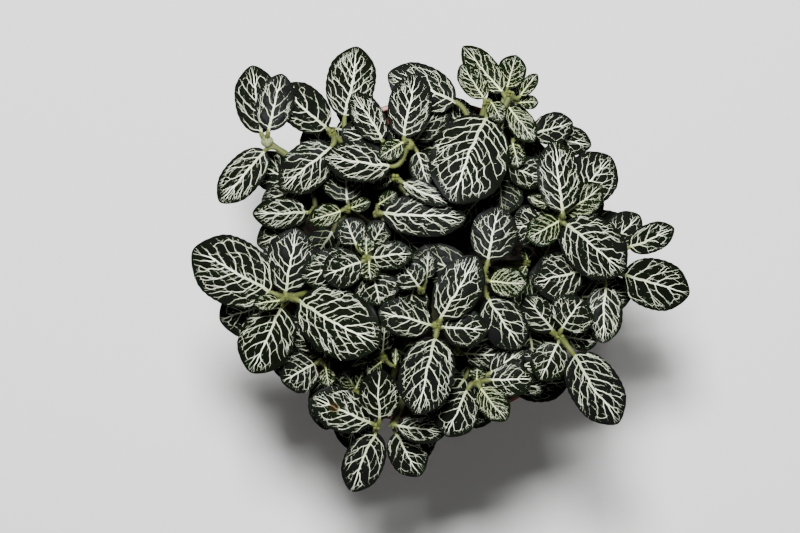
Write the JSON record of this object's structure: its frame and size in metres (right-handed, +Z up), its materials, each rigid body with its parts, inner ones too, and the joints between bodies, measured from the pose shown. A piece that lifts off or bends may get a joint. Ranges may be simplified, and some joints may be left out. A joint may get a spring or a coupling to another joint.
{
  "type": "potted plant",
  "caption": "Potted nerve plant: a low dome of small oval leaves with pale net veins, growing from soil in a tapered round nursery pot that the leaves overhang.",
  "frame": {"origin": "middle of the pot's flat base, on the surface that the pot stands on", "axes": "+Z up along the pot's axis; +Y towards the top of the picture and +X towards its right, seen from above"},
  "size_m": [0.179, 0.1607, 0.1568],
  "materials": {
    "pot": "satin",
    "soil": "matte",
    "foliage": "satin"
  },
  "bodies": {
    "root": {"pot": "pot", "soil": "soil", "shoot_01": "foliage", "shoot_02": "foliage", "shoot_03": "foliage", "shoot_04": "foliage", "shoot_05": "foliage", "shoot_06": "foliage", "shoot_07": "foliage", "shoot_08": "foliage", "shoot_09": "foliage", "shoot_10": "foliage", "shoot_11": "foliage", "shoot_12": "foliage", "shoot_13": "foliage", "shoot_14": "foliage", "shoot_15": "foliage", "shoot_16": "foliage", "shoot_17": "foliage", "shoot_18": "foliage", "shoot_19": "foliage", "shoot_20": "foliage", "shoot_21": "foliage", "shoot_22": "foliage", "shoot_23": "foliage", "shoot_24": "foliage", "shoot_25": "foliage", "shoot_26": "foliage", "shoot_27": "foliage", "shoot_28": "foliage", "shoot_29": "foliage", "shoot_30": "foliage", "shoot_31": "foliage", "shoot_32": "foliage", "shoot_33": "foliage", "shoot_34": "foliage", "shoot_35": "foliage", "shoot_36": "foliage", "shoot_37": "foliage", "shoot_38": "foliage", "shoot_39": "foliage", "shoot_40": "foliage"}
  },
  "joints": []
}
